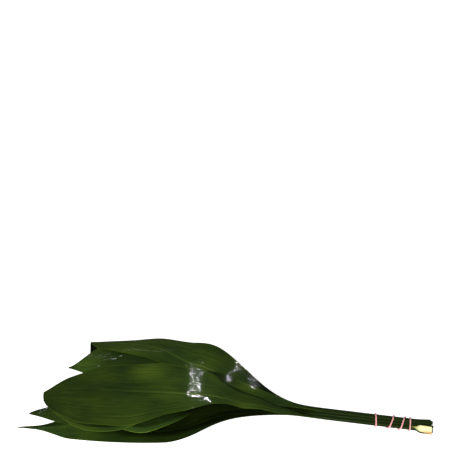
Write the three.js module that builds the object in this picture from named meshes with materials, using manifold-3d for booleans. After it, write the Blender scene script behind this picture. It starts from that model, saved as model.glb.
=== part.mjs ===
// A florist's bunch of ten cut cast iron plant leaves with an elastic tie, lying on a table.
// Millimetres. X runs along the bunch from the leaf tips (-) to the cut ends (+), Y across it
// from the low side of the heap (-) to its high side (+), and Z up from the table.
import Module from "manifold-3d";
import * as THREE from "three";
import { mergeVertices } from "three/addons/utils/BufferGeometryUtils.js";

// The bunch as a whole. Widths across it are counted from its low side, at NEAR_Y.
const CUT_X = 350;
const NEAR_Y = -99;
const AXIS_Y = 30;
const AXIS_YAW = 0.12;
const AXIS_RISE = 0.06;

// Leaf stalks, packed in staggered rows inside the tie
const STALK = 4.6;
const STALK_PITCH = 5;
const ROW_PITCH = (STALK_PITCH * Math.sqrt(3)) / 2;
const GROOVE = 0.7;
const STALK_EDGE = 0.1;

// Places along X: stalks start to open, blades begin, the heap has its full form, blades lie down
const STALKS_OPEN = 178;
const BLADES_BEGIN = 118;
const BASES_END = 60;
const HEAP_FULL = -50;
const TABLE_X = -100;

// Blades, stacked like spoons: each layer lies a little above the one below it
const LAYER = 2.1;
const BLADE = 0.8;
const RIB_AT_BASE = 1.7;
const RIB_AT_TIP = 1.1;

// The stalk widens by WING on each side at the blade's base, and narrows again into the tip
const WING = 2.7;
const WING_FROM = 130;
const WING_FULL = 105;
const NARROWS_FROM = 0.85;
const WIDTH_AT_TIP = 0.3;
const TAIL_FROM = 0.8;
const TAIL_FULL = 0.94;

// The heap: its slope on the low side, its crest, and the fall behind the crest
const HEAP_FOOT = 4;
const HEAP_SLOPE = 0.46;
const HEAP_FALL = 0.45;
const CREST_Y = 165;
const CREST_ROUND = 14;
const HEAP_WAVE = 2.2;
const HEAP_WAVE_AT_TIPS = 1;
const HEAP_WAVE_X = 38;
const HEAP_WAVE_Y = 60;
const WAVES_GROW_FROM = -300;
const WAVES_GROW_TO = -80;

// A swell under the bases of the upper blades: how high, how long, and from where to where across
const SWELL = 3;
const SWELL_X = -8;
const SWELL_LENGTH = 36;
const SWELL_Y = [20, 60, 100, 140];

// The crest sags towards the tips
const SAG = 5;
const SAG_FROM = -165;
const SAG_TO = -240;
const SAG_FROM_Y = 125;

// The near corner of the back leaf's blunt tip is folded down along a line between two places
const FOLD_LINE = [new THREE.Vector2(-224, 166), new THREE.Vector2(-238, 185)];
const FOLD_STEEP = 1.8;

// The top leaf's stalk comes up on the low side of the bundle, and its base hangs over the others
const RISES_FROM = 152;
const RISES_TO = 88;
const HANG = 0.6;
const HANGS_FROM = 0;
const HANGS_FULL = 40;
const ASIDE_FROM = 170;

// The second leaf lies down on the table beyond the first one's margin
const LAID_FROM_Y = 108;
const LAID_TO_Y = 138;

// The trough in which the blade bases nest
const TROUGH_SLOPE = 0.5;
const TROUGH_ROUND = 6;
const TROUGH_ROUND_AFTER = 26;
const TROUGH_WIDE_FROM = 20;

// Beyond the tie the cut ends spread a little
const SPREAD_FROM = 318;
const SPREAD_ACROSS = 1.2;
const SPREAD_UP = 0.5;
const SHEATH_THIN = 0.4;

// Elastic tie. Its route after the first closed turn: how many turns on, and how far along X.
const ELASTIC = 1.8;
const TIE_GAP = 0.3;
const FIRST_TURN_X = 254;
const TIE_ROUTE = [
  [0.5, 254], [0.78, 271.6], [1.22, 282.4], [1.78, 291], [2.22, 300], [2.6, 308.5], [3.55, 312.5],
];
const KNOT = 4.2;
const KNOT_OUT = 1.3;

// Stalks at the corners of the bundle, in the order in which the elastic passes them
const CORNERS = [[-1, 1], [0, 3], [1, 3], [1.5, 2], [0.5, 0], [-0.5, 0]];

// The leaves from the lowest to the topmost. row and across place the stalk in the bundle, lift is
// how much of the heap's slope the leaf takes, droop is how far back its tip bends and how far it
// hangs down, and wave is the length and start of the waves in its margins. route gives places of
// the midrib between base and tip, along X and across, and aside moves the stalk's upper end out of
// the bundle. tail is how much the tip narrows to a tail, and fold marks the leaf with the folded
// tip. sheath widens the cut end, turn turns it about the stalk, and splay moves it to a side. A
// side's width is measured from the midrib, at is where it is widest from base to tip, base and
// point shape its ends, and wave is the height of its waves.
const LEAVES = [
  {
    name: "leaf_01", row: 0, across: -0.5, cut: 349, base: 105, tip: [-350, 38],
    lift: 0, droop: [60, -2.5], wave: [70, 0.4], tail: 0.8,
    near: { width: 44, at: 0.46, base: 5.6, point: 0.8, wave: 0 },
    far: { width: 46, at: 0.5, base: 2.5, point: 0.9, wave: 0 },
  },
  {
    name: "leaf_02", row: 0, across: 0.5, cut: 350, base: 100, tip: [-240, 148],
    lift: 0.03, droop: [50, 0], wave: [85, 1.1],
    near: { width: 44, at: 0.55, base: 2.5, point: 0.9, wave: 0 },
    far: { width: 50, at: 0.55, base: 2.2, point: 0.8, wave: 0.5 },
  },
  {
    name: "leaf_03", row: 1, across: 0, cut: 348, base: 95, tip: [-334, 65],
    lift: 0.16, droop: [50, -1], wave: [75, 2.6],
    near: { width: 38, at: 0.5, base: 3, point: 0.9, wave: 0.7 },
    far: { width: 42, at: 0.5, base: 2.5, point: 0.7, wave: 0.6 },
  },
  {
    name: "leaf_04", row: 1, across: 1, cut: 347, base: 100, tip: [-246, 136],
    lift: 0.3, droop: [60, 3], wave: [90, 0.2],
    near: { width: 46, at: 0.55, base: 2.5, point: 0.9, wave: 0.5 },
    far: { width: 50, at: 0.55, base: 2.2, point: 0.8, wave: 2 },
  },
  {
    name: "leaf_05", row: 2, across: -0.5, cut: 349, base: 95, tip: [-311, 82],
    lift: 0.42, droop: [50, 0], wave: [80, 4.1], tail: 0.3,
    near: { width: 42, at: 0.5, base: 3, point: 1, wave: 0.7 },
    far: { width: 46, at: 0.5, base: 2.5, point: 0.9, wave: 0.8 },
  },
  {
    name: "leaf_06", row: 2, across: 0.5, cut: 347, base: 60, tip: [-262, 62],
    lift: 0.56, droop: [50, 0], wave: [66, 5.2],
    near: { width: 52, at: 0.62, base: 5, point: 1.5, wave: 1 },
    far: { width: 46, at: 0.55, base: 2.5, point: 0.8, wave: 0.6 },
  },
  {
    name: "leaf_07", row: 2, across: 1.5, cut: 350, base: 118, tip: [-270, 120],
    route: [[-60, 100], [-150, 121], [-210, 124]],
    lift: 0.93, droop: [40, 1], wave: [58, 0.9],
    near: { width: 46, at: 0.62, base: 2.2, point: 1.2, wave: 0.5 },
    far: { width: 65, at: 0.75, base: 1.6, point: 1.45, wave: 0.8 },
  },
  {
    name: "leaf_08", row: 3, across: 1, cut: 346, base: 118, tip: [-239, 191],
    route: [[30, 83], [-19, 102], [-66, 126], [-121, 160]],
    lift: 0.95, droop: [40, 0], wave: [110, 1.9], fold: true,
    near: { width: 22, at: 0.55, base: 3, point: 0.05, wave: 0.5 },
    far: { width: 46, at: 0.42, base: 1.7, point: 1.3, wave: 1.2 },
  },
  {
    name: "leaf_09", row: 3, across: 0, cut: 348, base: 118, tip: [-304, 67],
    lift: 0.96, droop: [45, 6], wave: [95, 2.2],
    near: { width: 60, at: 0.76, base: 8, point: 0.6, wave: 1.1 },
    far: { width: 40, at: 0.58, base: 0.7, point: 0.8, wave: 0.6 },
  },
  {
    name: "leaf_10", row: 1, across: -1, cut: 346, base: 125, tip: [-308, 71],
    route: [[90, 41], [58, 46], [12, 44.5], [-42, 58], [-93, 67], [-161, 69]], aside: -9,
    lift: 1, droop: [45, 7], wave: [95, 2.2], sheath: 2, turn: 1.1, splay: -2.2,
    near: { width: 56, at: 0.72, base: 4.6, point: 0.42, wave: 1.4 },
    far: { width: 46, at: 0.58, base: 1.35, point: 0.92, wave: 1.2 },
  },
];

// 0 before from, 1 past to, and smooth between them
function ramp(x, from, to) {
  const t = Math.min(1, Math.max(0, (x - from) / (to - from)));
  return t * t * (3 - 2 * t);
}

function mix(a, b, t) {
  return a + (b - a) * t;
}

// Centre line of the bundle, across
function axisY(x) {
  return AXIS_Y + AXIS_YAW * (CUT_X - x);
}

// Underside of the stack: it rises from the cut ends and comes down to the table under the blades
function underside(x) {
  return AXIS_RISE * (CUT_X - x) * (1 - ramp(x, BLADES_BEGIN, TABLE_X));
}

// Height of the heap's common form above the stack's own layers
function relief(x, y) {
  const bend = Math.log(1 + Math.exp((y - CREST_Y) / CREST_ROUND)) * CREST_ROUND;
  const grown = mix(HEAP_WAVE_AT_TIPS, HEAP_WAVE, ramp(x, WAVES_GROW_FROM, WAVES_GROW_TO));
  const wave = grown * Math.sin(x / HEAP_WAVE_X + y / HEAP_WAVE_Y) * ramp(y, 0, HEAP_WAVE_Y);
  const [near, nearTop, farTop, far] = SWELL_Y;
  const across = ramp(y, near, nearTop) * (1 - ramp(y, farTop, far));
  const swell = SWELL * across * Math.exp(-(((x - SWELL_X) / SWELL_LENGTH) ** 2));
  const sag = SAG * ramp(x, SAG_FROM, SAG_TO) * ramp(y, SAG_FROM_Y, CREST_Y);
  return HEAP_FOOT + HEAP_SLOPE * y - (HEAP_SLOPE + HEAP_FALL) * bend + wave + swell - sag;
}

// Sides of the nested blade bases, rising from the bundle's centre line
function trough(x, y) {
  const wider = ramp(x, BLADES_BEGIN, TROUGH_WIDE_FROM);
  const round = mix(TROUGH_ROUND, TROUGH_ROUND_AFTER, wider);
  const open = ramp(x, STALKS_OPEN, BLADES_BEGIN);
  const size = TROUGH_SLOPE * open * (1 - ramp(x, BASES_END, -BASES_END));
  return size * (Math.hypot(y - axisY(x), round) - round);
}

// How far a place past the fold line is folded down
function foldedDown(x, y) {
  const along = FOLD_LINE[1].clone().sub(FOLD_LINE[0]).normalize();
  const past = along.cross(new THREE.Vector2(x, y).sub(FOLD_LINE[0]));
  return FOLD_STEEP * Math.max(0, past);
}

// How far the top leaf's base is below the side of the trough, on the low side of the bundle
function hanging(leaf, x, y) {
  const share = ramp(x, HANGS_FROM, HANGS_FULL) * ramp(x, STALKS_OPEN, BLADES_BEGIN);
  const side = y < axisY(x) ? trough(x, y) : 0;
  return share * (side + HANG * Math.max(0, midribY(leaf, x) - y));
}

// Thickness at the midrib. The lowest leaf lies flat, with its rib pressed level.
function ribDepth(leaf, x) {
  const level = leaf === LEAVES[0];
  const from = level ? TABLE_X : leaf.tip[0];
  return mix(level ? BLADE : RIB_AT_TIP, RIB_AT_BASE, ramp(x, from, BASES_END));
}

// Smooth way of a blade's midrib from its base through the places of its route to its tip
function routeY(leaf, x) {
  const aside = leaf.across * STALK_PITCH + (leaf.aside ?? 0);
  const base = [leaf.base, axisY(leaf.base) + aside];
  const places = [base, ...(leaf.route ?? []), leaf.tip];
  const slope = (i) => {
    const [before, after] = [places[Math.max(0, i - 1)], places[Math.min(i + 1, places.length - 1)]];
    return (after[1] - before[1]) / (after[0] - before[0]);
  };
  const next = Math.max(1, places.findIndex((place) => place[0] <= x));
  const [[fromX, fromY], [toX, toY]] = [places[next - 1], places[next]];
  const span = toX - fromX;
  const t = (x - fromX) / span;
  const leave = t * (1 - t) ** 2 * span * slope(next - 1);
  const arrive = t * t * (1 - t) * span * slope(next);
  return mix(fromY, toY, t * t * (3 - 2 * t)) + leave - arrive;
}

function midribY(leaf, x) {
  const across = leaf.across * STALK_PITCH;
  if (x < leaf.base) return routeY(leaf, x);
  const spread = leaf.across * SPREAD_ACROSS + (leaf.splay ?? 0);
  const aside = (leaf.aside ?? 0) * ramp(x, ASIDE_FROM, leaf.base);
  return axisY(x) + across + aside + spread * ramp(x, SPREAD_FROM, CUT_X);
}

// Width of a leaf from its midrib to one margin
function sideWidth(leaf, side, x) {
  const stalk = STALK / 2 + WING * ramp(x, WING_FROM, WING_FULL);
  const t = (leaf.base - x) / (leaf.base - leaf.tip[0]);
  if (t <= 0) return stalk;
  const toBase = Math.sin((Math.PI / 2) * Math.min(1, t / side.at)) ** side.base;
  const toTip = Math.cos((Math.PI / 2) * Math.max(0, (t - side.at) / (1 - side.at)));
  const shape = t < side.at ? toBase : Math.max(0, toTip) ** side.point;
  const tail = 1 - (leaf.tail ?? 0) * ramp(t, TAIL_FROM, TAIL_FULL);
  return stalk * mix(1, WIDTH_AT_TIP, ramp(t, NARROWS_FROM, 1)) + side.width * shape * tail;
}

// Upper face of a leaf at a point of the table. share runs from -1 at the low margin to 1.
function leafTop(leaf, x, y, share) {
  const rank = LEAVES.indexOf(leaf);
  const packed = STALK + leaf.row * (ROW_PITCH + SPREAD_UP * ramp(x, SPREAD_FROM, CUT_X));
  const stacked = ribDepth(leaf, x) + rank * LAYER;
  const rises = leaf.aside ? ramp(x, RISES_FROM, RISES_TO) : ramp(x, STALKS_OPEN, BLADES_BEGIN);
  const layer = mix(packed, stacked, rises);
  const heap = leaf.lift * ramp(x, BLADES_BEGIN, HEAP_FULL) * relief(x, y);
  const side = share < 0 ? leaf.near : leaf.far;
  const [length, start] = leaf.wave;
  const margin = side.wave * share * share * ramp(x, BASES_END, HEAP_FULL);
  const wave = margin * Math.sin((2 * Math.PI * x) / length + start);
  const droop = leaf.droop[1] * ramp(x, leaf.tip[0] + leaf.droop[0], leaf.tip[0]);
  const fold = leaf.fold ? foldedDown(x, y) : 0;
  const hang = leaf.aside ? hanging(leaf, x, y) : 0;
  const top = underside(x) + layer + trough(x, y) + heap + wave - droop - fold - hang;
  if (leaf !== LEAVES[1]) return top;
  const laid = ramp(x, 0, TABLE_X) * ramp(y, LAID_FROM_Y, LAID_TO_Y);
  return mix(top, ribDepth(leaf, x), laid);
}

// Seven points across the upper face and seven across the lower one, as one ring
const ACROSS = [-1, -0.66, -0.3, 0, 0.3, 0.66, 1];

function sectionRing(leaf, x) {
  const blade = ramp(x, STALKS_OPEN, BLADES_BEGIN);
  const middle = midribY(leaf, x);
  const flare = ramp(x, SPREAD_FROM, CUT_X);
  const stalk = STALK / 2 + (leaf.sheath ?? 0) * flare;
  const thick = (STALK / 2) * (leaf.sheath ? 1 - SHEATH_THIN * flare : 1);
  const turn = (leaf.turn ?? 0) * flare;
  const core = leafTop(leaf, x, middle, 0) - STALK / 2;
  const upper = [];
  const lower = [];
  ACROSS.forEach((share, index) => {
    const angle = (Math.PI / 2) * (index / 3 - 1);
    const side = share < 0 ? leaf.near : leaf.far;
    const round = stalk * Math.sin(angle);
    const y = middle + mix(round, sideWidth(leaf, side, x) * share, blade);
    const top = leafTop(leaf, x, y, share);
    const bulge = thick * mix(STALK_EDGE, 1, Math.cos(angle));
    const groove = share === 0 ? GROOVE : 0;
    const depth = share === 0 ? ribDepth(leaf, x) : BLADE;
    upper.push([y, top - mix(STALK / 2 - bulge + groove, 0, blade)]);
    lower.push([y, top - mix(STALK / 2 + bulge, depth, blade)]);
  });
  return upper.concat(lower.reverse()).map(([y, z]) => {
    const point = new THREE.Vector2(y, z).rotateAround(new THREE.Vector2(middle, core), turn);
    return new THREE.Vector3(x, point.x + NEAR_Y, point.y);
  });
}

// Planes in which all the leaves have their rings
function planes() {
  const list = [334, SPREAD_FROM, 285, 250, 220, 200, 186, 174, 164, 155, 146, 138, 131, 124, 117];
  for (let x = 108; x > -340; x -= 16) list.push(x);
  return list;
}

function leafStations(leaf) {
  const tip = leaf.tip[0];
  const inner = planes().filter((x) => x < leaf.cut - 4 && x > tip + 20);
  return [leaf.cut, ...inner, tip + 14, tip + 8, tip + 3, tip];
}

// Closes a row of rings into one body. The two faces of a blade are split alike.
function skin(rings) {
  const count = rings[0].length;
  const half = count / 2;
  const faces = [];
  for (let i = 0; i < rings.length - 1; i++) {
    for (let j = 0; j < count; j++) {
      const a = i * count + j;
      const b = i * count + ((j + 1) % count);
      if (j < half) faces.push(a, b, b + count, a, b + count, a + count);
      else faces.push(a, b, a + count, b, b + count, a + count);
    }
  }
  const last = (rings.length - 1) * count;
  for (let j = 0; j < half - 1; j++) {
    const k = count - 1 - j;
    faces.push(j, k, k - 1, j, k - 1, j + 1);
    faces.push(last + j, last + k - 1, last + k, last + j, last + j + 1, last + k - 1);
  }
  const geometry = new THREE.BufferGeometry();
  const position = rings.flat().flatMap((point) => point.toArray());
  geometry.setAttribute("position", new THREE.Float32BufferAttribute(position, 3));
  geometry.setIndex(faces);
  return geometry;
}

function makeLeaf(leaf) {
  const rings = leafStations(leaf).map((x) => sectionRing(leaf, x));
  const material = new THREE.MeshStandardMaterial({ color: 0x2f4616, roughness: 0.35 });
  const mesh = new THREE.Mesh(skin(rings), material);
  mesh.name = leaf.name;
  return mesh;
}

// One turn of the elastic round the bundle's corner stalks, with the share of the turn reached
function tieTurn() {
  const radius = STALK / 2 + TIE_GAP + ELASTIC / 2;
  const points = CORNERS.flatMap(([across, row], index) =>
    [-1, 0, 1].map((step) => {
      const angle = Math.PI - (index * Math.PI) / 3 - (step * Math.PI) / 6;
      const y = across * STALK_PITCH + radius * Math.cos(angle);
      return new THREE.Vector2(y, row * ROW_PITCH + radius * Math.sin(angle));
    }),
  );
  points.push(points.shift());
  points.push(points[0]);
  const lengths = points.map((point, i) => (i ? point.distanceTo(points[i - 1]) : 0));
  const total = lengths.reduce((sum, length) => sum + length, 0);
  let passed = 0;
  return points.map((point, i) => {
    passed += lengths[i];
    return { share: passed / total, point };
  });
}

const TURN = tieTurn();

// Where the elastic is after so many turns, at a place along X
function tiePoint(turns, x) {
  const share = turns - Math.floor(turns);
  const next = Math.max(1, TURN.findIndex((corner) => corner.share >= share));
  const [a, b] = [TURN[next - 1], TURN[next]];
  const at = a.point.clone().lerp(b.point, (share - a.share) / (b.share - a.share));
  return new THREE.Vector3(x, axisY(x) + at.x + NEAR_Y, underside(x) + STALK / 2 + at.y);
}

function routeX(turns) {
  const next = Math.max(1, TIE_ROUTE.findIndex(([until]) => until >= turns));
  const [[fromTurns, fromX], [toTurns, toX]] = [TIE_ROUTE[next - 1], TIE_ROUTE[next]];
  return mix(fromX, toX, (turns - fromTurns) / (toTurns - fromTurns));
}

// Round cord through the corners of the turns between two places
function cord(from, to, placeX) {
  const stops = [from];
  for (let turn = Math.floor(from); turn <= to; turn++) {
    for (const { share } of TURN.slice(1)) {
      const at = turn + share;
      if (at > from + 0.01 && at < to - 0.01) stops.push(at);
    }
  }
  stops.push(to);
  const path = stops.map((turns) => tiePoint(turns, placeX(turns)));
  const rings = path.map((point, i) => {
    const before = path[Math.max(0, i - 1)];
    const after = path[Math.min(path.length - 1, i + 1)];
    const along = after.clone().sub(before).normalize();
    const side = new THREE.Vector3(1, 0, 0).addScaledVector(along, -along.x).normalize();
    const out = along.clone().cross(side);
    return Array.from({ length: 8 }, (_, k) => {
      const angle = (k * Math.PI) / 4;
      const ring = point.clone().addScaledVector(side, (ELASTIC / 2) * Math.cos(angle));
      return ring.addScaledVector(out, (ELASTIC / 2) * Math.sin(angle));
    });
  });
  return skin(rings);
}

// Small knot outside the bundle, lying over the strands that it joins
function knot(turns, x, length) {
  const geometry = new THREE.SphereGeometry(KNOT / 2, 10, 6);
  geometry.scale(length / KNOT, 1, 1);
  const centre = tiePoint(turns, x);
  centre.y += KNOT_OUT;
  geometry.translate(centre.x, centre.y, centre.z);
  return geometry;
}

const wasm = await Module();
wasm.setup();

function toSolid(geometry) {
  const bare = geometry.clone();
  bare.deleteAttribute("normal");
  bare.deleteAttribute("uv");
  const merged = mergeVertices(bare, 1e-4);
  const vertProperties = new Float32Array(merged.attributes.position.array);
  const triVerts = new Uint32Array(merged.index.array);
  return new wasm.Manifold(new wasm.Mesh({ numProp: 3, vertProperties, triVerts }));
}

function toGeometry(solid) {
  const mesh = solid.getMesh();
  const geometry = new THREE.BufferGeometry();
  geometry.setAttribute("position", new THREE.BufferAttribute(mesh.vertProperties, 3));
  geometry.setIndex(new THREE.BufferAttribute(mesh.triVerts, 1));
  return geometry;
}

function makeTie() {
  const [lastTurns, lastX] = TIE_ROUTE.at(-1);
  const parts = [
    cord(-0.49, 0.49, () => FIRST_TURN_X),
    cord(0.51, lastTurns, routeX),
    knot(0.5, FIRST_TURN_X, KNOT),
    knot(lastTurns, mix(routeX(lastTurns - 1), lastX, 0.5), KNOT + 4),
  ];
  const solid = parts.map(toSolid).reduce((sum, part) => sum.add(part));
  const material = new THREE.MeshStandardMaterial({ color: 0xd98583, roughness: 0.6 });
  const mesh = new THREE.Mesh(toGeometry(solid), material);
  mesh.name = "elastic_tie";
  return mesh;
}

const bunch = new THREE.Group();
bunch.name = "bunch_of_cast_iron_plant_leaves";
for (const leaf of LEAVES) bunch.add(makeLeaf(leaf));
bunch.add(makeTie());

export default bunch;
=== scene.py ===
"""A florist's bunch of ten cut cast iron plant leaves in an elastic tie, lying on a table.

The tables below are in millimetres and the model in metres. X runs from the leaf tips to the cut
ends, Y across from the low side of the heap of blades to its high side, and Z up from the table.
"""

import math

import bpy
import numpy as np
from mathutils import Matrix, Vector


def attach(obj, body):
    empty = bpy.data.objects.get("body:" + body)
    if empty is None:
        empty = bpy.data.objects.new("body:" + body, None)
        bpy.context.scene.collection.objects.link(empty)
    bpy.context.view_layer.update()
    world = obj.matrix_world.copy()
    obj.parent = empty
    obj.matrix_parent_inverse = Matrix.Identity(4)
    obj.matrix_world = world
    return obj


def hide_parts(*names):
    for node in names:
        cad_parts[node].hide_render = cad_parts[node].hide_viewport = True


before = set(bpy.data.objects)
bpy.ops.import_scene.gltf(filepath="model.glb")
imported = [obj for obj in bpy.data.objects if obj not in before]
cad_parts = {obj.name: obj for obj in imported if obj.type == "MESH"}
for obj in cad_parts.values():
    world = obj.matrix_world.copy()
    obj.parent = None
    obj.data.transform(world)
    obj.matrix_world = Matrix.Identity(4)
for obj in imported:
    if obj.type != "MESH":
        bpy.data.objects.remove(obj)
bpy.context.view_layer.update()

MM = 0.001

# The bunch as a whole. Widths across it are counted from its low side, at NEAR_Y.
CUT_X = 350
NEAR_Y = -99
AXIS_Y = 30
AXIS_YAW = 0.12
AXIS_RISE = 0.06

# Leaf stalks, packed in staggered rows inside the tie
STALK = 4.6
STALK_PITCH = 5
ROW_PITCH = STALK_PITCH * math.sqrt(3) / 2
GROOVE = 0.8
GROOVE_WIDTH = 0.2
STALK_EDGE = 0.1

# Places along X where stalks start to open, where blades begin, where their bases end, where the
# heap has its full form, and where the stack lies down on the table
STALKS_OPEN = 178
BLADES_BEGIN = 118
BASES_END = 60
HEAP_FULL = -50
TABLE_X = -100

# Blades, stacked like spoons
LAYER = 2.1
BLADE = 0.55
MARGIN = 0.22
MARGIN_FROM = 0.75
THIN_AT_TIP = 0.5
THIN_TIP_LENGTH = 30
RIB_AT_BASE = 1.7
RIB_AT_TIP = 0.9
LIES_AT_TIP = 1.1
RIB_WIDTH = 1.9
WING = 2.7
WING_FROM = 130
WING_FULL = 105
NARROWS_FROM = 0.85
WIDTH_AT_TIP = 0.25
TAIL_FROM = 0.8
TAIL_FULL = 0.94

# The heap: its slope on the low side, its crest, and the fall behind the crest
HEAP_FOOT = 4
HEAP_SLOPE = 0.46
HEAP_FALL = 0.45
CREST_Y = 165
CREST_ROUND = 14
HEAP_WAVE = 2.2
HEAP_WAVE_AT_TIPS = 1
HEAP_WAVE_X = 38
HEAP_WAVE_Y = 60
WAVES_GROW_FROM = -300
WAVES_GROW_TO = -80

# A swell under the bases of the upper blades, and the sag of the crest towards the tips
SWELL = 3
SWELL_X = -8
SWELL_LENGTH = 36
SWELL_Y = (20, 60, 100, 140)
SAG = 5
SAG_FROM = -165
SAG_TO = -240
SAG_FROM_Y = 125

# The near corner of the back leaf's blunt tip is folded down along a line between two places
FOLD_LINE = ((-224, 166), (-238, 185))
FOLD_STEEP = 2.3
FOLD_ROUND = 0.7

# The top leaf's stalk comes up on the low side of the bundle, and its base hangs over the others
RISES_FROM = 152
RISES_TO = 88
HANG = 0.6
HANGS_FROM = 0
HANGS_FULL = 40
ASIDE_FROM = 170

# The second leaf lies down on the table beyond the first one's margin
LAID_FROM_Y = 108
LAID_TO_Y = 138

# The trough in which the blade bases nest
TROUGH_SLOPE = 0.5
TROUGH_ROUND = 6
TROUGH_ROUND_AFTER = 26
TROUGH_WIDE_FROM = 20

# Beyond the tie the cut ends spread a little
SPREAD_FROM = 318
SPREAD_ACROSS = 1.2
SPREAD_UP = 0.5
SHEATH_THIN = 0.4
SHEATH_FROM = 313
SHEATH_FULL = 329

# Fine form of a blade: raised veins, the channel over the midrib, and slow dents
FINE_FROM = 158
FINE_FULL = 88
FINE_FADES = 40
VEINS = 11
VEIN_HEIGHT = 0.09
VEINS_FROM = 0.1
VEINS_TO = 0.93
FULL_WIDTH = 50
CHANNEL = 0.5
CHANNEL_WIDTH = 1.7
DENT = 0.22
WEAK_DENT = 0.6
DENT_WAVES = ((17, 9), (29, -13), (11, -23))
DENT_RIPPLE = 7

# The grid of a leaf: its steps while past a place along X, its places before the tip, and the
# points across it
STEPS = ((308, 3), (185, 7), (40, 3.6))
BLADE_STEP = 4.2
TIP_STEPS = (22, 18.5, 15, 12, 9.5, 7, 5, 3.4, 2, 1, 0.3, 0)
POINTS_PER_VEIN = 6
LOWER_POINTS = 49

# How near points are joined, how many sides a cut end has at least and where it lies, and the
# angles in degrees up to which leaves and elastic are smooth
JOINED = 0.002
CUT_SIDES = 8
CUT_PAST = 300
SMOOTH_LEAF = 50
SMOOTH_ELASTIC = 60

# The layout on a leaf counts decimetres along X, and shares of the half width across it
LAYOUT_UNIT = 100

# Elastic tie: the corner stalks it goes round, and its route as turns and place along X
ELASTIC = 2.3
TIE_GAP = 0.3
CORNERS = [(-1, 1), (0, 3), (1, 3), (1.5, 2), (0.5, 0), (-0.5, 0)]
CORNER_POINTS = 5
SHORTEST_STEP = 0.008
FIRST_TURN_X = 254
FIRST_TURN = (-0.49, 0.49)
LATER_TURNS_FROM = 0.51
TIE_ROUTE = [
    (0.5, 254), (0.78, 271.6), (1.22, 282.4), (1.78, 291), (2.22, 300), (2.6, 308.5), (3.55, 312.5),
]

# Its knots: two crossed loops and two cut tails
KNOT_OUT = 1.3
KNOT_LENGTH = 4.2
LONG_KNOT_LENGTH = 8.2
LOOP_RADIUS = 1.15
LOOP_THICK = 1.7
LOOP_TILT = 0.5
TAIL_THICK = 1.2
TAIL_LENGTH = 3.4
TAIL_TILT = 0.5
TAIL_ALONG = 0.42
TAIL_OUT = 0.2
TAIL_UP = 0.5

# How far the flashes are from the bunch, in metres
FLASH_AWAY = 4.4


def side(width, at, base, point, wave):
    """One half of a blade: its width, where it is widest, the form of its ends and its waves."""
    return {"width": width, "at": at, "base": base, "point": point, "wave": wave}


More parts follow.
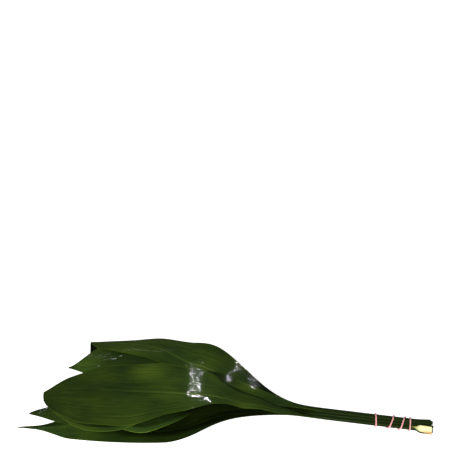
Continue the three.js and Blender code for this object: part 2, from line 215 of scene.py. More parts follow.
# The leaves from the lowest to the topmost:
#   row, across: the stalk's place in the bundle
#   cut, base: where along X the stalk is cut and where the blade begins
#   tip, route: the tip's place, and further places of the midrib, along X and across
#   lift: how much of the heap's form the blade takes
#   droop: length and depth of the hanging tip
#   wave: length and start of the waves in the margins
#   tail: how much narrower the blade gets before its tip
#   covered: shade of a leaf above: the shares of the half width where it starts and is full, then
#       the places along X where it starts, is full, starts to fade and ends
#   patch: middle of a lighter patch, along X and as a share of the half width
#   fold: the near corner of the tip is folded down
#   sheath, turn: how much broader the sheath at the cut end is on each side, and its turned angle
#   splay, aside: how far the stalk leaves its place in the bundle, at the cut end and at the blade
LEAVES = [
    {
        "name": "leaf_01", "row": 0, "across": -0.5, "cut": 349, "base": 105, "tip": (-350, 38),
        "lift": 0, "droop": (60, -2.5), "wave": (70, 0.4), "tail": 0.8,
        "covered": [(-0.8, -0.45, -230, -150, 60, 100)],
        "near": side(44, 0.46, 5.6, 0.8, 0), "far": side(46, 0.5, 1.2, 0.9, 0),
    },
    {
        "name": "leaf_02", "row": 0, "across": 0.5, "cut": 350, "base": 100, "tip": (-240, 148),
        "lift": 0.03, "droop": (50, 0), "wave": (85, 1.1),
        "near": side(44, 0.55, 1.6, 0.9, 0), "far": side(50, 0.55, 2.2, 0.8, 0.5),
    },
    {
        "name": "leaf_03", "row": 1, "across": 0, "cut": 348, "base": 95, "tip": (-334, 65),
        "lift": 0.16, "droop": (50, -1), "wave": (75, 2.6),
        "near": side(38, 0.5, 3, 0.9, 0.7), "far": side(42, 0.5, 2.5, 0.7, 0.6),
    },
    {
        "name": "leaf_04", "row": 1, "across": 1, "cut": 347, "base": 100, "tip": (-246, 136),
        "lift": 0.3, "droop": (60, 3), "wave": (90, 0.2),
        "near": side(46, 0.55, 2.5, 0.9, 0.5), "far": side(50, 0.55, 2.2, 0.8, 2),
    },
    {
        "name": "leaf_05", "row": 2, "across": -0.5, "cut": 349, "base": 95, "tip": (-311, 82),
        "lift": 0.42, "droop": (50, 0), "wave": (80, 4.1), "tail": 0.3,
        "near": side(42, 0.5, 3, 1, 0.7), "far": side(46, 0.5, 2.5, 0.9, 0.8),
    },
    {
        "name": "leaf_06", "row": 2, "across": 0.5, "cut": 347, "base": 60, "tip": (-262, 62),
        "lift": 0.56, "droop": (50, 0), "wave": (66, 5.2),
        "covered": [(-0.94, -0.74, -230, -190, 0, 60)],
        "near": side(52, 0.62, 5, 1.5, 1), "far": side(46, 0.55, 2.5, 0.8, 0.6),
    },
    {
        "name": "leaf_07", "row": 2, "across": 1.5, "cut": 350, "base": 118, "tip": (-270, 120),
        "route": [(-60, 100), (-150, 121), (-210, 124)],
        "lift": 0.93, "droop": (40, 1), "wave": (58, 0.9),
        "near": side(46, 0.62, 2.2, 1.2, 0.5), "far": side(71, 0.75, 1.6, 1.5, 0.8),
    },
    {
        "name": "leaf_08", "row": 3, "across": 1, "cut": 346, "base": 118, "tip": (-239, 191),
        "route": [(30, 83), (-19, 102), (-66, 126), (-121, 160)],
        "lift": 0.95, "droop": (40, 0), "wave": (110, 1.9), "fold": True,
        "covered": [(0.3, 0.75, 20, 60, 150, 190)],
        "near": side(22, 0.55, 3, 0.05, 0.5), "far": side(46, 0.42, 1.7, 1.3, 1.2),
    },
    {
        "name": "leaf_09", "row": 3, "across": 0, "cut": 348, "base": 118, "tip": (-304, 67),
        "lift": 0.96, "droop": (45, 6), "wave": (95, 2.2),
        "covered": [(-0.93, -0.86, -290, -220, -150, -110), (0.5, 0.8, -70, -35, 5, 35)],
        "near": side(60, 0.76, 8, 0.6, 1.1), "far": side(40, 0.58, 0.7, 0.8, 0.6),
    },
    {
        "name": "leaf_10", "row": 1, "across": -1, "cut": 346, "base": 125, "tip": (-308, 71),
        "route": [(90, 41), (58, 46), (12, 44.5), (-42, 58), (-93, 67), (-161, 69)],
        "lift": 1, "droop": (45, 7), "wave": (95, 2.2), "sheath": (3.6, 5.4), "turn": 1.2,
        "splay": -3.4, "aside": -9,
        "patch": (-135, 0.7), "covered": [(0.8, 0.93, -30, 0, 100, 120)],
        "near": side(56, 0.72, 4.6, 0.42, 1.4), "far": side(46, 0.58, 1.35, 0.92, 1.2),
    },
]


def ramp(x, start, end):
    """0 before start, 1 past end, and smooth between them."""
    t = np.clip((np.asarray(x, float) - start) / (end - start), 0, 1)
    return t * t * (3 - 2 * t)


def mix(a, b, t):
    return a + (b - a) * t


def axis_y(x):
    """Centre line of the bundle, across."""
    return AXIS_Y + AXIS_YAW * (CUT_X - x)


def underside(x):
    """The stack's underside rises from the cut ends and comes down under the blades."""
    return AXIS_RISE * (CUT_X - x) * (1 - ramp(x, BLADES_BEGIN, TABLE_X))


def heap_form(x, y):
    """Height of the heap's common form above the stack's own layers."""
    bend = np.logaddexp(0, (y - CREST_Y) / CREST_ROUND) * CREST_ROUND
    grown = mix(HEAP_WAVE_AT_TIPS, HEAP_WAVE, ramp(x, WAVES_GROW_FROM, WAVES_GROW_TO))
    wave = grown * ramp(y, 0, HEAP_WAVE_Y) * np.sin(x / HEAP_WAVE_X + y / HEAP_WAVE_Y)
    near, near_top, far_top, far = SWELL_Y
    across = ramp(y, near, near_top) * (1 - ramp(y, far_top, far))
    swell = SWELL * across * np.exp(-(((x - SWELL_X) / SWELL_LENGTH) ** 2))
    sag = SAG * ramp(x, SAG_FROM, SAG_TO) * ramp(y, SAG_FROM_Y, CREST_Y)
    return HEAP_FOOT + HEAP_SLOPE * y - (HEAP_SLOPE + HEAP_FALL) * bend + wave + swell - sag


def trough(x, y):
    """Sides of the nested blade bases, rising from the bundle's centre line."""
    rounding = mix(TROUGH_ROUND, TROUGH_ROUND_AFTER, ramp(x, BLADES_BEGIN, TROUGH_WIDE_FROM))
    size = TROUGH_SLOPE * ramp(x, STALKS_OPEN, BLADES_BEGIN) * (1 - ramp(x, BASES_END, -BASES_END))
    return size * (np.hypot(y - axis_y(x), rounding) - rounding)


def rib_depth(leaf, x):
    """Thickness at the midrib. The lowest leaf's rib is pressed level with its blade."""
    level = leaf is LEAVES[0]
    start = TABLE_X if level else leaf["tip"][0]
    return mix(BLADE if level else RIB_AT_TIP, RIB_AT_BASE, ramp(x, start, BASES_END))


def blade_share(leaf, x):
    """How far along the blade a place is: 0 at its base and 1 at its tip."""
    return (leaf["base"] - x) / (leaf["base"] - leaf["tip"][0])


def route_y(leaf, x):
    """Smooth way of a blade's midrib from its base through the places of its route to its tip."""
    aside = leaf["across"] * STALK_PITCH + leaf.get("aside", 0)
    base = (leaf["base"], axis_y(leaf["base"]) + aside)
    places = np.array([base, *leaf.get("route", []), leaf["tip"]], float)
    last = len(places) - 1
    after = places[np.minimum(np.arange(last + 1) + 1, last)]
    before = places[np.maximum(np.arange(last + 1) - 1, 0)]
    slope = (after[:, 1] - before[:, 1]) / (after[:, 0] - before[:, 0])
    index = np.clip(np.searchsorted(-places[:, 0], -x), 1, last)
    span = places[index, 0] - places[index - 1, 0]
    t = (x - places[index - 1, 0]) / span
    leave = t * (1 - t) ** 2 * span * slope[index - 1]
    arrive = t * t * (1 - t) * span * slope[index]
    return mix(places[index - 1, 1], places[index, 1], t * t * (3 - 2 * t)) + leave - arrive


def midrib_y(leaf, x):
    x = np.asarray(x, float)
    spread = leaf["across"] * SPREAD_ACROSS * ramp(x, SPREAD_FROM, CUT_X)
    spread = spread + leaf.get("splay", 0) * ramp(x, SHEATH_FROM, SHEATH_FULL)
    aside = leaf.get("aside", 0) * ramp(x, ASIDE_FROM, leaf["base"])
    stalk = axis_y(x) + leaf["across"] * STALK_PITCH + aside + spread
    return np.where(x < leaf["base"], route_y(leaf, x), stalk)


def side_width(leaf, half, x):
    """Width of a leaf from its midrib to one margin."""
    stalk = STALK / 2 + WING * ramp(x, WING_FROM, WING_FULL)
    t = blade_share(leaf, x)
    to_base = np.sin(np.pi / 2 * np.clip(t / half["at"], 0, 1)) ** half["base"]
    along_point = np.clip((t - half["at"]) / (1 - half["at"]), 0, 1)
    to_tip = np.maximum(np.cos(np.pi / 2 * along_point), 0) ** half["point"]
    shape = np.where(t < half["at"], to_base, to_tip)
    tail = 1 - leaf.get("tail", 0) * ramp(t, TAIL_FROM, TAIL_FULL)
    blade = stalk * mix(1, WIDTH_AT_TIP, ramp(t, NARROWS_FROM, 1)) + half["width"] * shape * tail
    return np.where(t > 0, blade, stalk)


def by_side(share, near, far):
    return np.where(share < 0, near, far)


def folded_down(x, y):
    """How far a place past the fold line is folded down."""
    start, end = np.array(FOLD_LINE, float)
    along = (end - start) / np.hypot(*(end - start))
    past = along[0] * (y - start[1]) - along[1] * (x - start[0])
    return FOLD_STEEP * FOLD_ROUND * np.logaddexp(0, past / FOLD_ROUND)


def hanging(leaf, x, y):
    """How far the top leaf's base is below the side of the trough, on the bundle's low side."""
    share = ramp(x, HANGS_FROM, HANGS_FULL) * ramp(x, STALKS_OPEN, BLADES_BEGIN)
    wall = np.where(y < axis_y(x), trough(x, y), 0)
    return share * (wall + HANG * np.maximum(0, midrib_y(leaf, x) - y))


def leaf_top(leaf, x, y, share):
    """Upper face of a leaf. share runs from -1 at the low margin to 1 at the high one."""
    rank = LEAVES.index(leaf)
    rows = leaf["row"] * (ROW_PITCH + SPREAD_UP * ramp(x, SPREAD_FROM, CUT_X))
    thin = (BLADE, TABLE_X) if leaf is LEAVES[0] else (LIES_AT_TIP, leaf["tip"][0])
    stacked = mix(thin[0], RIB_AT_BASE, ramp(x, thin[1], BASES_END)) + rank * LAYER
    rises = ramp(x, RISES_FROM, RISES_TO) if "aside" in leaf else ramp(x, STALKS_OPEN, BLADES_BEGIN)
    layer = mix(STALK + rows, stacked, rises)
    heap = leaf["lift"] * ramp(x, BLADES_BEGIN, HEAP_FULL) * heap_form(x, y)
    length, start = leaf["wave"]
    height = by_side(share, leaf["near"]["wave"], leaf["far"]["wave"])
    margin = height * share * share * ramp(x, BASES_END, HEAP_FULL)
    wave = margin * np.sin(2 * np.pi * x / length + start)
    back, depth = leaf["droop"]
    droop = depth * ramp(x, leaf["tip"][0] + back, leaf["tip"][0])
    top = underside(x) + layer + trough(x, y) + heap + wave - droop
    if "fold" in leaf:
        top = top - folded_down(x, y)
    if "aside" in leaf:
        top = top - hanging(leaf, x, y)
    if leaf is not LEAVES[1]:
        return top
    laid = ramp(x, 0, TABLE_X) * ramp(y, LAID_FROM_Y, LAID_TO_Y)
    return mix(top, rib_depth(leaf, x), laid)


def slow_dents(leaf, x, y):
    """Slow dents in a blade's upper face, elsewhere on each leaf."""
    rank = LEAVES.index(leaf)
    first, second, third = [
        np.sin(x / length + y / width + number * rank)
        for number, (length, width) in enumerate(DENT_WAVES, 1)
    ]
    return DENT * (first * second + WEAK_DENT * third * np.cos(y / DENT_RIPPLE + rank))


def fine_form(leaf, x, y, share):
    """Veins, the channel over the midrib and slow dents, on the upper face."""
    width = by_side(share, side_width(leaf, leaf["near"], x), side_width(leaf, leaf["far"], x))
    out = np.abs(share)
    veins = VEIN_HEIGHT * np.cos(2 * np.pi * VEINS * out) * ramp(out, 0, VEINS_FROM)
    veins = veins * np.clip(width / FULL_WIDTH, 0, 1) ** 2
    channel = CHANNEL * np.exp(-(((y - midrib_y(leaf, x)) / CHANNEL_WIDTH) ** 2))
    inside = 1 - ramp(out, VEINS_TO, 1)
    fade = 1 - ramp(x, leaf["tip"][0] + FINE_FADES, leaf["tip"][0])
    form = inside * fade * (veins + slow_dents(leaf, x, y)) - channel * fade
    return ramp(x, FINE_FROM, FINE_FULL) * form


def only(piece):
    """Selects one piece and nothing else."""
    bpy.ops.object.select_all(action="DESELECT")
    piece.select_set(True)
    bpy.context.view_layer.objects.active = piece


def stations(leaf):
    """Places along a leaf from its cut end to its tip, closer where its form changes."""
    tip = leaf["tip"][0]
    places = [leaf["cut"]]
    while places[-1] > tip + TIP_STEPS[0]:
        step = next((step for past, step in STEPS if places[-1] > past), BLADE_STEP)
        places.append(places[-1] - step)
    return np.array(places[:-1] + [tip + step for step in TIP_STEPS])


def section_shares():
    """Shares across the upper face, then back across the lower face, to the start."""
    upper = np.linspace(-1, 1, 2 * VEINS * POINTS_PER_VEIN + 1)
    lower = np.linspace(1, -1, LOWER_POINTS)
    shares = np.concatenate([upper, lower, upper[:1]])
    below = np.concatenate([np.zeros(len(upper)), np.ones(len(lower)), [0]])
    return shares, below


def leaf_skin(leaf, x, share, under):
    """Places on a leaf's skin, across and up: a round stalk that opens into a thin blade."""
    blade = ramp(x, STALKS_OPEN, BLADES_BEGIN)
    middle = midrib_y(leaf, x)
    angle = np.pi / 2 * share
    flare = ramp(x, SHEATH_FROM, SHEATH_FULL)
    stalk = STALK / 2 + by_side(share, *leaf.get("sheath", (0, 0))) * flare
    width = by_side(share, side_width(leaf, leaf["near"], x), side_width(leaf, leaf["far"], x))
    y = middle + mix(stalk * np.sin(angle), width * share, blade)
    top = leaf_top(leaf, x, y, share)
    thick = STALK / 2 * (1 - SHEATH_THIN * flare if "sheath" in leaf else 1)
    bulge = thick * mix(STALK_EDGE, 1, np.cos(angle))
    groove = GROOVE * np.exp(-((share / GROOVE_WIDTH) ** 2))
    upper = top - mix(STALK / 2 - bulge + groove, 0, blade) + fine_form(leaf, x, y, share)
    rib = np.exp(-(((y - middle) / RIB_WIDTH) ** 2)) * np.maximum(rib_depth(leaf, x) - BLADE, 0)
    at_tip = mix(THIN_AT_TIP, 1, ramp(x, leaf["tip"][0], leaf["tip"][0] + THIN_TIP_LENGTH))
    thin = mix(BLADE, MARGIN, ramp(np.abs(share), MARGIN_FROM, 1)) * at_tip
    lower = top - mix(STALK / 2 + bulge, thin + rib, blade)
    z = np.where(under > 0, lower, upper)
    return turned(leaf, x, y, z, middle, flare)


def turned(leaf, x, y, z, middle, flare):
    """Turns the sheath at a stalk's cut end about the middle of the stalk."""
    core = leaf_top(leaf, x, middle, 0 * x) - STALK / 2
    turn = leaf.get("turn", 0) * flare
    aside, above = y - middle, z - core
    y = middle + aside * np.cos(turn) - above * np.sin(turn)
    z = core + aside * np.sin(turn) + above * np.cos(turn)
    return y, z


def close_skin(piece):
    """Joins the edges of a rolled grid, fills its ends and turns its faces outwards."""
    only(piece)
    bpy.ops.object.mode_set(mode="EDIT")
    bpy.ops.mesh.select_all(action="SELECT")
    bpy.ops.mesh.remove_doubles(threshold=JOINED * MM)
    bpy.ops.mesh.select_all(action="SELECT")
    bpy.ops.mesh.fill_holes(sides=0)
    bpy.ops.mesh.select_all(action="SELECT")
    bpy.ops.mesh.normals_make_consistent(inside=False)
    bpy.ops.object.mode_set(mode="OBJECT")


def grow_leaf(leaf):
    """A grid rolled into the closed skin of one leaf: stalk, blade and pointed tip."""
    places = stations(leaf)
    shares, below = section_shares()
    rows, columns = len(places) - 1, len(shares) - 1
    bpy.ops.object.select_all(action="DESELECT")
    bpy.ops.mesh.primitive_grid_add(x_subdivisions=rows, y_subdivisions=columns, size=2)
    piece = bpy.context.object
    piece.name = leaf["name"] + "_grown"
    mesh = piece.data
    flat = np.empty(len(mesh.vertices) * 3)
    mesh.vertices.foreach_get("co", flat)
    flat = flat.reshape(-1, 3)
    row = np.rint((flat[:, 0] + 1) / 2 * rows).astype(int)
    column = np.rint((flat[:, 1] + 1) / 2 * columns).astype(int)
    x, share, under = places[row], shares[column], below[column]

    y, z = leaf_skin(leaf, x, share, under)
    mesh.vertices.foreach_set("co", (np.stack([x, y + NEAR_Y, z], 1) * MM).ravel())
    loop_vertex = np.empty(len(mesh.loops), int)
    mesh.loops.foreach_get("vertex_index", loop_vertex)
    layout = np.stack([x[loop_vertex] / LAYOUT_UNIT, share[loop_vertex]], 1)
    mesh.uv_layers[0].name = "leaf"
    mesh.uv_layers[0].data.foreach_set("uv", layout.ravel())
    backs = mesh.attributes.new("underside", "FLOAT", "POINT")
    backs.data.foreach_set("value", under)
    mesh.update()

    close_skin(piece)
    bpy.ops.object.shade_smooth_by_angle(angle=math.radians(SMOOTH_LEAF))
    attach(piece, "root")
    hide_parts(leaf["name"])
    return piece


def tie_turn():
    """One turn of the elastic round the corner stalks: (share of the turn, across, up)."""
    radius = STALK / 2 + TIE_GAP + ELASTIC / 2
    points = []
    for index, (across, row) in enumerate(CORNERS):
        for step in np.linspace(-1, 1, CORNER_POINTS):
            angle = math.pi - index * math.pi / 3 - step * math.pi / 6
            out, up = radius * math.cos(angle), radius * math.sin(angle)
            points.append((across * STALK_PITCH + out, row * ROW_PITCH + up))
    first = CORNER_POINTS // 2
    points = np.array(points[first:] + points[:first + 1])
    passed = np.concatenate([[0], np.cumsum(np.hypot(*np.diff(points, axis=0).T))])
    return passed / passed[-1], points


TURN_SHARES, TURN_POINTS = tie_turn()


def tie_point(turns, x):
    """Place of the elastic's centre line after a number of turns."""
    share = turns - math.floor(turns)
    across = np.interp(share, TURN_SHARES, TURN_POINTS[:, 0])
    up = np.interp(share, TURN_SHARES, TURN_POINTS[:, 1])
    y = float(axis_y(x) + across + NEAR_Y)
    z = float(underside(x) + STALK / 2 + up)
    return Vector((x, y, z)) * MM


def strand(name, start, end, place_x):
    """A round strand of elastic along its turns, made as a curve and turned into a mesh."""
    stops = {round(start, 4), round(end, 4)}
    first, last = start + SHORTEST_STEP, end - SHORTEST_STEP
    for turn in range(math.floor(start), math.ceil(end) + 1):
        stops.update(round(turn + share, 4) for share in TURN_SHARES if first < turn + share < last)
    route = [tie_point(turns, place_x(turns)) for turns in sorted(stops)]
    path = bpy.data.curves.new(name, "CURVE")
    path.dimensions = "3D"
    path.bevel_depth = ELASTIC / 2 * MM
    path.bevel_resolution = 4
    path.use_fill_caps = True
    line = path.splines.new("POLY")
    line.points.add(len(route) - 1)
    for point, place in zip(line.points, route):
        point.co = (*place, 1)
    piece = bpy.data.objects.new(name, path)
    bpy.context.collection.objects.link(piece)
    only(piece)
    bpy.ops.object.convert(target="MESH")
    return bpy.context.object


def knot(turns, x, length):
    """A small knot: two crossed loops pulled tight over the strands, with two cut tails."""
    centre = tie_point(turns, x) + Vector((0, KNOT_OUT * MM, 0))
    parts = []
    for tilt in (-LOOP_TILT, LOOP_TILT):
        bpy.ops.mesh.primitive_torus_add(
            major_radius=LOOP_RADIUS * MM, minor_radius=LOOP_THICK / 2 * MM,
            major_segments=20, minor_segments=10,
            location=centre, rotation=(math.pi / 2, tilt, 0),
        )
        loop = bpy.context.object
        loop.scale = (length / KNOT_LENGTH, 1, 1)
        parts.append(loop)
    for way in (-1, 1):
        out = (way * length * TAIL_ALONG * MM, TAIL_OUT * MM, way * TAIL_UP * MM)
        bpy.ops.mesh.primitive_cylinder_add(
            vertices=10, radius=TAIL_THICK / 2 * MM, depth=TAIL_LENGTH * MM,
            location=centre + Vector(out),
            rotation=(TAIL_TILT * way, math.pi / 2, TAIL_TILT / 2 * way),
        )
        parts.append(bpy.context.object)
    return parts


def tie_elastic():
    """The whole tie: a closed first turn, three slanting turns and a knot on each."""
    turns = [turn for turn, _ in TIE_ROUTE]
    places = [x for _, x in TIE_ROUTE]

    def route_x(turn):
        return float(np.interp(turn, turns, places))

    parts = [
        strand("first_turn", *FIRST_TURN, lambda turn: FIRST_TURN_X),
        strand("later_turns", LATER_TURNS_FROM, turns[-1], route_x),
    ]
    parts += knot(turns[0], FIRST_TURN_X, KNOT_LENGTH)
    parts += knot(turns[-1], (route_x(turns[-1] - 1) + places[-1]) / 2, LONG_KNOT_LENGTH)
    only(parts[0])
    for part in parts:
        part.select_set(True)
    bpy.ops.object.join()
    piece = bpy.context.object
    piece.name = "elastic_stretched"
    bpy.ops.object.transform_apply(location=True, rotation=True, scale=True)
    bpy.ops.object.shade_smooth_by_angle(angle=math.radians(SMOOTH_ELASTIC))
    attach(piece, "root")
    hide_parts("elastic_tie")
    return piece


class Finish:
    """A material and short calls for its nodes."""

    def __init__(self, name):
        self.material = bpy.data.materials.new(name)
        self.material.use_nodes = True
        self.tree = self.material.node_tree
        self.shader = self.tree.nodes["Principled BSDF"]

    def node(self, kind, **values):
        made = self.tree.nodes.new(kind)
        for key, value in values.items():
            setattr(made, key, value)
        return made

    def join(self, out, into):
        self.tree.links.new(out, into)

    def feed(self, socket, value):
        """Gives a socket a number, a colour or another node's output."""
        if isinstance(value, (int, float)):
            socket.default_value = value
        elif isinstance(value, tuple):
            socket.default_value = (*value, 1)
        else:
            self.join(value, socket)

    def math(self, operation, *values):
        made = self.node("ShaderNodeMath", operation=operation)
        for socket, value in zip(made.inputs, values):
            self.feed(socket, value)
        return made.outputs[0]

    def times(self, first, *factors):
        for factor in factors:
            first = self.math("MULTIPLY", first, factor)
        return first

    def blend(self, factor, first, second):
        made = self.node("ShaderNodeMix", data_type="RGBA")
        for index, value in ((0, factor), (6, first), (7, second)):
            self.feed(made.inputs[index], value)
        return made.outputs[2]

    def number_mix(self, factor, first, second):
        return self.math("ADD", self.times(self.math("SUBTRACT", second, first), factor), first)

    def noise(self, vector, scale, detail=2.0, roughness=0.5):
        made = self.node("ShaderNodeTexNoise")
        made.inputs["Scale"].default_value = scale
        made.inputs["Detail"].default_value = detail
        made.inputs["Roughness"].default_value = roughness
        self.join(vector, made.inputs["Vector"])
        return made.outputs["Fac"]

    def range(self, value, low, high, to_low=0.0, to_high=1.0):
        """Smooth change from to_low to to_high where the value goes from low to high."""
        made = self.node("ShaderNodeMapRange", interpolation_type="SMOOTHSTEP")
        self.join(value, made.inputs["Value"])
        made.inputs["From Min"].default_value = low
        made.inputs["From Max"].default_value = high
        made.inputs["To Min"].default_value = to_low
        made.inputs["To Max"].default_value = to_high
        return made.outputs["Result"]

    def stretched(self, vector, scale, shift=(0, 0, 0)):
        made = self.node("ShaderNodeMapping")
        made.inputs["Scale"].default_value = scale
        made.inputs["Location"].default_value = shift
        self.join(vector, made.inputs["Vector"])
        return made.outputs["Vector"]

    def object_place(self):
        return self.node("ShaderNodeTexCoord").outputs["Object"]

    def bump(self, height, strength, distance, under=None):
        """Relief in a surface, with its distance in millimetres."""
        made = self.node("ShaderNodeBump")
        made.inputs["Strength"].default_value = strength
        made.inputs["Distance"].default_value = distance * MM
        self.join(height, made.inputs["Height"])
        if under is not None:
            self.join(under, made.inputs["Normal"])
        return made.outputs["Normal"]


# Colours of the leaves, of their cut ends and of the elastic
DEEP_GREEN = (0.016, 0.033, 0.0062)
FRESH_GREEN = (0.038, 0.066, 0.0072)
STREAK_GREEN = (0.010, 0.022, 0.0035)
MIDRIB_GREEN = (0.075, 0.115, 0.022)
YELLOW_GREEN = (0.070, 0.110, 0.009)
BACK_GREEN = (0.05, 0.09, 0.016)
STALK_GREEN = (0.013, 0.025, 0.005)
STALK_PALE = (0.026, 0.044, 0.010)
PATCH_GREEN = (0.055, 0.092, 0.009)
# Painted deep shade, under covering leaves and on the back leaf's folded corner
PAINTED_DEEP_SHADE = (0.003, 0.005, 0.001)
CREAM = (1.0, 0.94, 0.50)
SHEATH_GREEN = (0.45, 0.52, 0.10)
LOW_EDGE_BROWN = (0.72, 0.42, 0.17)
PITH_GREEN = (0.42, 0.46, 0.20)
PITH_PALE = (0.66, 0.66, 0.36)
RUBBER_PINK = (0.90, 0.34, 0.35)
DUSTY_PINK = (1.0, 0.52, 0.52)

# Painted light and shade: how much lighter or darker each leaf's green is near its tip and at its
# base, and from where to where it changes. On the lower leaves it is painted on their low side
# only.
UNDER_LEAVES = 6
PAINTED_TONES = [
    (2.6, 0.85, -300, -100), (0.5, 0.25, -200, -100), (1.6, 0.25, -290, -170),
    (0.4, 0.25, -200, -100), (0.5, 0.25, -200, -100), (2.9, 0.35, -110, -50),
    (2.3, 1.2, -250, -185), (1.6, 0.9, -60, 10), (1.5, 1.5, -100, 30), (0.9, 1.25, -260, -90),
]

# Patterns by place: waves to the metre
PATCHES = (9, 16, 12)
DIMPLES = (130, 190, 150)
WAX = 420

# Patterns by layout: waves to the decimetre along a leaf and to its half width
STREAKS = (0.5, 26, 1)
STALK_GRAIN = (0.8, 3, 1)
CREASES = (5, 10, 1)
CRINKLES = (16, 5, 1)
FINE_VEINS = 46

# Depths of the relief in millimetres. Light on the waxy coat shows the slow forms only.
FINE_VEIN_DEPTH = 0.06
STREAK_DEPTH = 0.3
CREASE_DEPTH = 0.9
WAX_DEPTH = 0.1
COAT_CREASE = 0.11
COAT_DIMPLE = 0.13
COAT_CRINKLE = 0.5

# Where a leaf's finish changes, in decimetres along X
STALK_GREENS = (1.2, 1.7)
MIDRIB_SHOWS = (-2.4, 0.2)
VEINS_FADE = (1.0, -0.6)
STREAKS_FADE = (1.2, -0.6)
CREASES_FADE = (0.8, -0.5)
CRINKLES_FROM = (-1.15, -0.95)
CRINKLES_TO = (-0.3, -0.5)
FOLDED_PAST = (-2.43, -2.445)
FOLD_SLANT = 0.2
PALE_FROM = (3.10, 3.17)
CREAM_FROM = (3.15, 3.27)
BROWN_EDGE_FROM = (3.28, 3.42)

# Where a leaf's finish changes across it, in shares of its half width
MIDRIB_EDGE = (0.035, 0.01)
RIM = (0.975, 0.995)
CRINKLED_RIB = (0.12, 0.04)
FAR_HALF = (0.1, 0.4)
FOLDED_HALF = (-0.3, -0.4)
PALE_HALF = (-0.45, -0.25)
BROWN_EDGE_HALF = (0.0, -0.25)

# How far a lighter patch reaches along X, in decimetres, and across, in shares of the half width
PATCH_REACH = (0.45, 0.5)


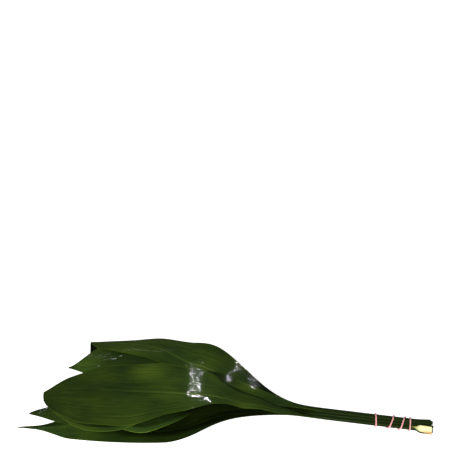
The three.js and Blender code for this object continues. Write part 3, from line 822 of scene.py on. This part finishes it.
class LeafFinish(Finish):
    """Glossy dark green of one leaf. A place on it is read from the leaf's own layout: how far
    along it is, and its share across, from -1 at the low margin to 1 at the high one."""

    def __init__(self, leaf):
        super().__init__(leaf["name"] + "_green")
        self.leaf = leaf
        self.rank = LEAVES.index(leaf)
        self.layout = self.node("ShaderNodeUVMap", uv_map="leaf").outputs["UV"]
        parts = self.node("ShaderNodeSeparateXYZ")
        self.join(self.layout, parts.inputs[0])
        self.along, self.share = parts.outputs[0], parts.outputs[1]
        self.across = self.math("ABSOLUTE", self.share)
        self.place = self.object_place()
        self.streaks = self.pattern(self.layout, STREAKS, 3, 1, detail=3.0, roughness=0.6)
        self.stalk = self.range(self.along, *STALK_GREENS)

    def pattern(self, vector, waves, shift_x, shift_y, **values):
        """A stretched noise that lies elsewhere on each leaf."""
        shift = (shift_x * self.rank, shift_y * self.rank, 0)
        return self.noise(self.stretched(vector, waves, shift), 1.0, **values)

    def near(self, value, centre, reach):
        """1 at the centre and 0 past its reach."""
        return self.range(self.math("ABSOLUTE", self.math("SUBTRACT", value, centre)), reach, 0.0)

    def blade_colour(self):
        """Patchy green with dark and yellow streaks, a paler midrib and a thin pale margin."""
        patches = self.pattern(self.place, PATCHES, 1, 2, detail=3.0)
        colour = self.blend(self.range(patches, 0.35, 0.7), DEEP_GREEN, FRESH_GREEN)
        colour = self.blend(self.range(self.streaks, 0.5, 0.72, 0, 0.7), colour, STREAK_GREEN)
        colour = self.blend(self.range(self.streaks, 0.42, 0.28, 0, 0.35), colour, YELLOW_GREEN)
        if "patch" in self.leaf:
            (x, share), (reach_x, reach_share) = self.leaf["patch"], PATCH_REACH
            near_x = self.near(self.along, x / LAYOUT_UNIT, reach_x)
            near_share = self.near(self.share, share, reach_share)
            colour = self.blend(self.times(near_x, near_share), colour, PATCH_GREEN)
        by_rib = self.times(
            self.range(self.across, *MIDRIB_EDGE), self.range(self.along, *MIDRIB_SHOWS), 0.7
        )
        colour = self.blend(by_rib, colour, MIDRIB_GREEN)
        return self.blend(self.times(self.range(self.across, *RIM), 0.7), colour, YELLOW_GREEN)

    def stalk_and_back(self, colour):
        """The stalk's darker green with its grain, and the paler underside of the blade."""
        grain = self.pattern(self.layout, STALK_GRAIN, 1, 1)
        stalk_green = self.blend(self.range(grain, 0.35, 0.65), STALK_GREEN, STALK_PALE)
        colour = self.blend(self.stalk, colour, stalk_green)
        back = self.node("ShaderNodeAttribute", attribute_name="underside").outputs["Fac"]
        blade_back = self.times(back, self.math("SUBTRACT", 1.0, self.stalk))
        return self.blend(self.times(blade_back, 0.75), colour, BACK_GREEN)

    def covered_shade(self, colour):
        """Deep shade along the parts of a blade that lie close under another leaf."""
        for outside, inside, *places in self.leaf.get("covered", []):
            dark_from, dark_to, fades_from, fades_to = [x / LAYOUT_UNIT for x in places]
            cover = self.times(
                self.range(self.share, outside, inside),
                self.range(self.along, dark_from, dark_to),
                self.range(self.along, fades_to, fades_from),
                0.8,
            )
            colour = self.blend(cover, colour, PAINTED_DEEP_SHADE)
        return colour

    def painted_light_and_shade(self, colour, painted_tone):
        """Paints light and shade into a blade's green, lighter or darker towards its tip and its
        base.
        """
        at_tip, at_base, start, end = painted_tone
        light = self.range(self.along, start / LAYOUT_UNIT, end / LAYOUT_UNIT, at_tip, at_base)
        if self.rank < UNDER_LEAVES:
            light = self.number_mix(self.range(self.share, *FAR_HALF), light, 1.0)
        made = self.node("ShaderNodeHueSaturation")
        self.join(self.number_mix(self.stalk, light, 1.0), made.inputs["Value"])
        self.join(colour, made.inputs["Color"])
        return made.outputs["Color"]

    def folded_shade(self, colour):
        """The folded corner of the back leaf shows its shaded side."""
        slanted = self.math("ADD", self.along, self.times(self.share, FOLD_SLANT))
        folded = self.times(self.range(slanted, *FOLDED_PAST), self.range(self.share, *FOLDED_HALF))
        return self.blend(folded, colour, PAINTED_DEEP_SHADE)

    def sheath_colour(self, colour):
        """The pale sheath at a stalk's cut end, greenish where it begins, and brown along its low
        edge.
        """
        cream = self.blend(self.range(self.along, *CREAM_FROM), SHEATH_GREEN, CREAM)
        pale = self.times(self.range(self.along, *PALE_FROM), self.range(self.share, *PALE_HALF))
        colour = self.blend(pale, colour, cream)
        brown_edge = self.times(self.range(self.along, *BROWN_EDGE_FROM), self.range(self.share, *BROWN_EDGE_HALF))
        return self.blend(brown_edge, colour, LOW_EDGE_BROWN)

    def colour(self, painted_tone):
        colour = self.covered_shade(self.stalk_and_back(self.blade_colour()))
        # painted light and shade: the green made lighter or darker towards the tip and the base
        colour = self.painted_light_and_shade(colour, painted_tone)
        if "fold" in self.leaf:
            colour = self.folded_shade(colour)
        if "sheath" in self.leaf:
            colour = self.sheath_colour(colour)
        return colour

    def relief(self, creases, wax):
        """Fine veins, streaks, creases and the grain of the wax."""
        fine = self.math("SINE", self.times(self.share, 2 * math.pi * FINE_VEINS))
        wide = self.range(self.along, *VEINS_FADE)
        normal = self.bump(self.times(fine, self.times(wide, 0.5)), 0.35, FINE_VEIN_DEPTH)
        fading = self.range(self.along, *STREAKS_FADE, 0.25, 1.0)
        normal = self.bump(self.times(self.streaks, fading), 0.5, STREAK_DEPTH, normal)
        normal = self.bump(creases, 1.0, CREASE_DEPTH, normal)
        return self.bump(wax, 0.4, WAX_DEPTH, normal)

    def coat_relief(self, creases):
        """Slow creases and dimples in the coat, and the top leaf's crinkled midrib."""
        fading = self.range(self.along, *CREASES_FADE)
        coat = self.bump(self.times(creases, fading), 1.0, COAT_CREASE)
        dimples = self.noise(self.stretched(self.place, DIMPLES), 1.0, 0.0)
        coat = self.bump(dimples, 1.0, COAT_DIMPLE, coat)
        if "patch" in self.leaf:
            crinkles = self.noise(self.stretched(self.layout, CRINKLES), 1.0, 0.0)
            rib = self.times(
                self.range(self.across, *CRINKLED_RIB),
                self.range(self.along, *CRINKLES_FROM),
                self.range(self.along, *CRINKLES_TO),
            )
            coat = self.bump(self.times(crinkles, rib), 1.0, COAT_CRINKLE, coat)
        return coat


def leaf_finish(leaf, painted_tone):
    finish = LeafFinish(leaf)
    creases = finish.pattern(finish.layout, CREASES, 1, 2, detail=0.0)
    wax = finish.noise(finish.place, WAX, 3.0)
    sockets = finish.shader.inputs
    finish.join(finish.colour(painted_tone), sockets["Base Color"])
    finish.join(finish.relief(creases, wax), sockets["Normal"])
    finish.join(finish.coat_relief(creases), sockets["Coat Normal"])
    finish.join(finish.range(wax, 0.3, 0.7, 0.48, 0.60), sockets["Roughness"])
    sockets["Specular IOR Level"].default_value = 0.05
    sockets["Coat Weight"].default_value = 0.6
    sockets["Coat Roughness"].default_value = 0.055
    return finish.material


def cut_finish():
    """Moist pale pith where the stalks are cut."""
    finish = Finish("cut_pith")
    grain = finish.noise(finish.object_place(), 1500.0, 2.0)
    colour = finish.blend(finish.range(grain, 0.3, 0.7), PITH_GREEN, PITH_PALE)
    finish.join(colour, finish.shader.inputs["Base Color"])
    finish.join(finish.bump(grain, 0.4, 0.2), finish.shader.inputs["Normal"])
    finish.shader.inputs["Roughness"].default_value = 0.5
    return finish.material


def elastic_finish():
    """Pink rubber, a little dusty, with fine stretch marks."""
    finish = Finish("pink_rubber")
    marks = finish.noise(finish.stretched(finish.object_place(), (1, 3, 3)), 900.0, 3.0)
    colour = finish.blend(finish.range(marks, 0.3, 0.7), RUBBER_PINK, DUSTY_PINK)
    finish.join(colour, finish.shader.inputs["Base Color"])
    finish.join(finish.bump(marks, 0.3, 0.1), finish.shader.inputs["Normal"])
    finish.join(finish.range(marks, 0.3, 0.7, 0.40, 0.55), finish.shader.inputs["Roughness"])
    return finish.material


def dress_leaf(piece, leaf, painted_tone, pith):
    """The leaf's own green all over, and pith on its cut end, the one face of many sides."""
    piece.data.materials.clear()
    piece.data.materials.append(leaf_finish(leaf, painted_tone))
    piece.data.materials.append(pith)
    for face in piece.data.polygons:
        cut = len(face.vertices) > CUT_SIDES and face.center.x > CUT_PAST * MM
        face.material_index = 1 if cut else 0


def dress_elastic(piece):
    piece.data.materials.clear()
    piece.data.materials.append(elastic_finish())


def light(name, kind, energy, place, aim, **values):
    data = bpy.data.lights.new(name, kind)
    data.energy = energy
    for key, value in values.items():
        setattr(data, key, value)
    lamp = bpy.data.objects.new(name, data)
    lamp.location = place
    lamp.rotation_euler = (Vector(aim) - Vector(place)).to_track_quat("-Z", "Y").to_euler()
    bpy.context.collection.objects.link(lamp)
    return lamp


def softbox(name, energy, place, aim, width, height):
    """A wide soft lamp that isn't mirrored in the leaves."""
    shape = {"shape": "RECTANGLE", "size": width, "size_y": height}
    light(name, "AREA", energy, place, aim, **shape).visible_glossy = False


def flash(name, energy, aim, way, cone):
    """A small flash far above the bunch, with a narrow cone, in a given direction from its aim."""
    up = math.sqrt(1 - way[0] ** 2 - way[1] ** 2)
    place = Vector(aim) + FLASH_AWAY * Vector((*way, up))
    beam = {"spot_size": math.radians(cone), "spot_blend": 0.6, "shadow_soft_size": 0.035}
    light(name, "SPOT", energy, place, aim, **beam)


def set_camera():
    data = bpy.data.cameras.new("camera")
    data.lens = 91.7
    data.sensor_width = 36
    camera = bpy.data.objects.new("camera", data)
    camera.location = (0, -1.6332, 1.1816)
    camera.rotation_euler = (math.radians(63.15), 0, 0)
    bpy.context.collection.objects.link(camera)
    bpy.context.scene.camera = camera


def lay_table():
    """A white card floor that glows a little, so that it stays white round the bunch."""
    bpy.ops.object.select_all(action="DESELECT")
    bpy.ops.mesh.primitive_plane_add(size=16, location=(0, 0, -0.0004))
    floor = bpy.context.object
    floor.name = "table_top"
    white = Finish("white_card")
    sockets = white.shader.inputs
    sockets["Base Color"].default_value = (0.9, 0.9, 0.9, 1)
    sockets["Roughness"].default_value = 0.9
    sockets["Specular IOR Level"].default_value = 0.0
    sockets["Emission Color"].default_value = (1, 1, 1, 1)
    sockets["Emission Strength"].default_value = 0.95
    floor.data.materials.append(white.material)
    floor.visible_glossy = False


def set_lights():
    """Soft light from the front, a little from behind, and flashes that glint on the wax."""
    world = bpy.data.worlds.new("studio")
    world.use_nodes = True
    world.node_tree.nodes["Background"].inputs[0].default_value = (1, 1, 1, 1)
    world.node_tree.nodes["Background"].inputs[1].default_value = 0.04
    bpy.context.scene.world = world
    bpy.context.scene.view_settings.view_transform = "Standard"

    softbox("front_softbox", 66, (-0.6, -2.2, 1.5), (0, 0, 0), 1.2, 0.8)
    softbox("back_softbox", 16, (0.3, 2.4, 0.6), (0, 0, 0.03), 1.2, 0.6)
    top_leaf = (-0.038, -0.042, 0.054)
    flash("left_flash", 110, top_leaf, (-0.315, 0.11), 0.9)
    flash("left_flash_outer", 55, top_leaf, (-0.345, 0.11), 0.9)
    flash("right_flash", 130, (0, 0.003, 0.069), (0.385, 0.054), 0.5)
    beam = {"spot_size": math.radians(1.9), "spot_blend": 1, "shadow_soft_size": 0.3}
    light("back_glow", "SPOT", 60, (-0.5, 2.58, 3.16), (-0.148, 0.057, 0.081), **beam)


set_camera()
lay_table()
set_lights()
pith = cut_finish()
# each leaf gets its own painted light and shade
for leaf, painted_tone in zip(LEAVES, PAINTED_TONES):
    dress_leaf(grow_leaf(leaf), leaf, painted_tone, pith)
dress_elastic(tie_elastic())
